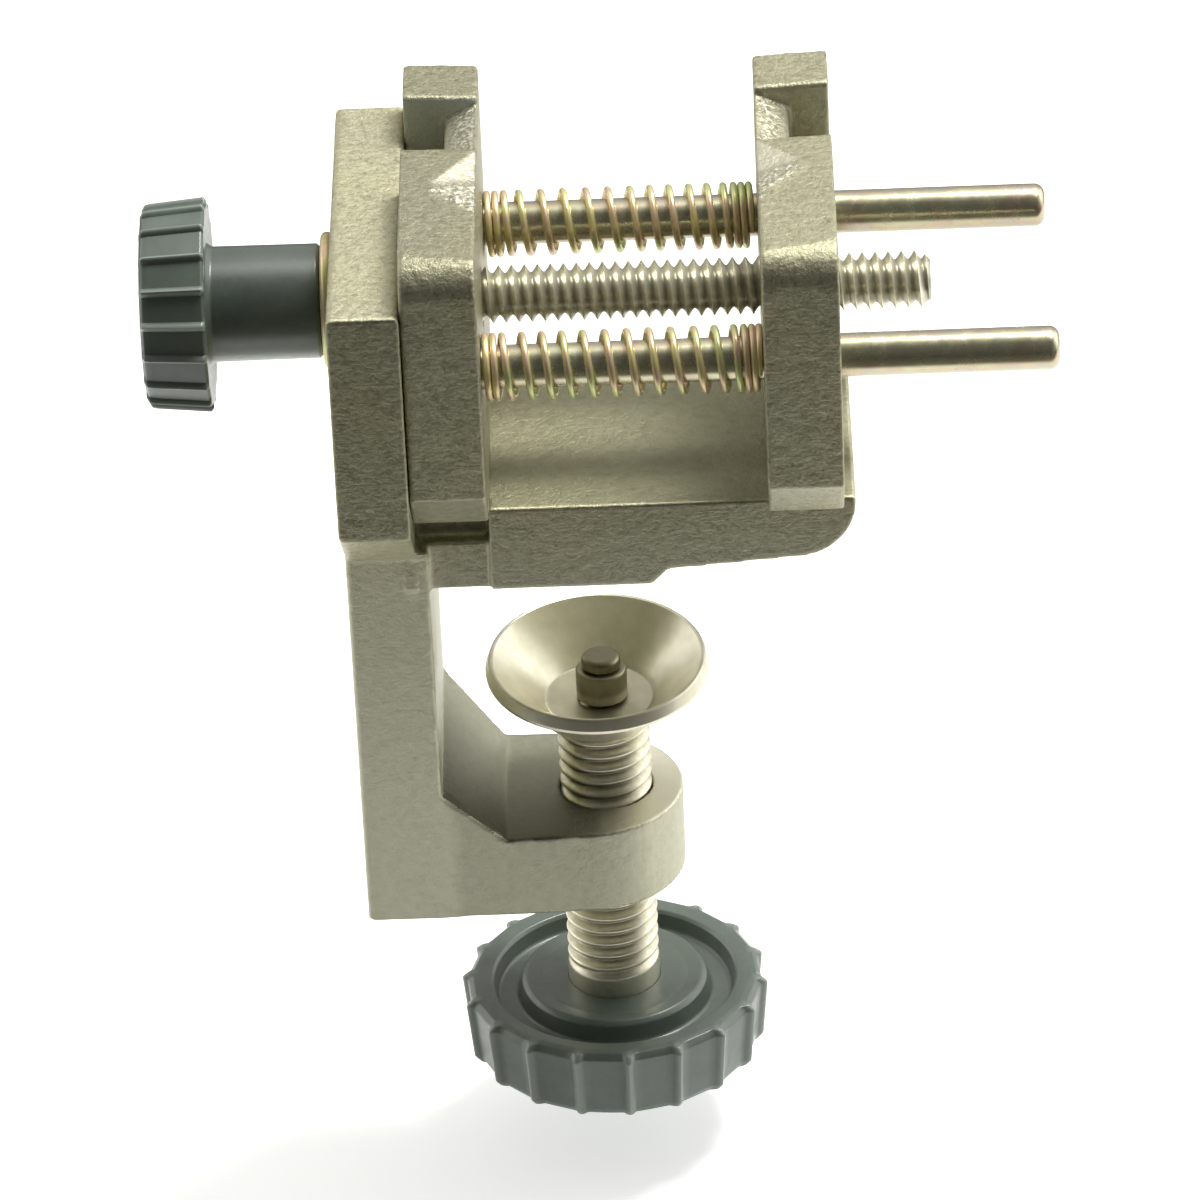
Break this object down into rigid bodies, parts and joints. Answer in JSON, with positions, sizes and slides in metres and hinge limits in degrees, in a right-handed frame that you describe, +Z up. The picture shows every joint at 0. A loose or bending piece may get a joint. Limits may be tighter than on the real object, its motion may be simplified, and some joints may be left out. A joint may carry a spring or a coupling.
{
  "type": "table-clamp bench vise",
  "caption": "Small cast bench vise that clamps under a table edge: two tall jaws on spring-loaded guide rods, closed by a leadscrew with a ribbed plastic knob.",
  "frame": {"origin": "on the flat underside of the bed, the face that rests on the table top, at the axis of the clamp screw", "axes": "+X along the leadscrew from the fixed jaw to the moving jaw, +Y across the jaws towards their notched rear end, +Z up"},
  "size_m": [0.0739, 0.0362, 0.086],
  "materials": {
    "cast_body": "satin nickel-grey plated casting with fine cast grain",
    "zinc_steel": "yellow zinc plated steel, faint rainbow sheen",
    "screw_steel": "bright steel thread with dull roots",
    "nickel_steel": "warm nickel plating, semi-gloss",
    "black_plastic": "moulded black plastic, slight sheen",
    "washer_zinc": "yellow zinc plated washer"
  },
  "bodies": {
    "frame": {"frame": "cast_body", "fixed_jaw": "cast_body", "jaw_screws": "zinc_steel", "guide_rod_front": "zinc_steel", "guide_rod_back": "zinc_steel", "spring_front": "zinc_steel", "spring_back": "zinc_steel"},
    "moving_jaw": {"moving_jaw": "cast_body"},
    "leadscrew": {"leadscrew": "screw_steel", "leadscrew_knob": "black_plastic", "thrust_washer": "washer_zinc"},
    "pad_bush": {"pad_bush": "nickel_steel"},
    "swivel_pad": {"swivel_pad": "nickel_steel"},
    "clamp_screw": {"clamp_screw": "nickel_steel", "clamp_knob": "black_plastic"}
  },
  "joints": [
    {"name": "jaw_slide", "type": "slide", "parent": "frame", "child": "moving_jaw", "axis": [1, 0, 0], "range_m": [-0.0119, 0.0056], "deforming": ["spring_front", "spring_back"]},
    {"name": "leadscrew_turn", "type": "hinge", "parent": "frame", "child": "leadscrew", "pos_m": [-0.0255, 0, 0.0218], "axis": [1, 0, 0], "range_deg": [-1906, 4049]},
    {"name": "clamp_travel", "type": "slide", "parent": "frame", "child": "pad_bush", "axis": [0, 0, 1], "range_m": [-0.0067, 0.011]},
    {"name": "clamp_screw_turn", "type": "hinge", "parent": "pad_bush", "child": "clamp_screw", "pos_m": [0, 0, -0.04], "axis": [0, 0, 1], "range_deg": [-1931, 3169]},
    {"name": "pad_tilt", "type": "hinge", "parent": "pad_bush", "child": "swivel_pad", "pos_m": [0, 0, -0.0176], "axis": [1, 0, 0], "range_deg": [-9, 0]}
  ],
  "couplings": [
    {"joint": "leadscrew_turn", "follows": "jaw_slide", "rad_per_m": -5936.9},
    {"joint": "clamp_screw_turn", "follows": "clamp_travel", "rad_per_m": 5026.5}
  ]
}
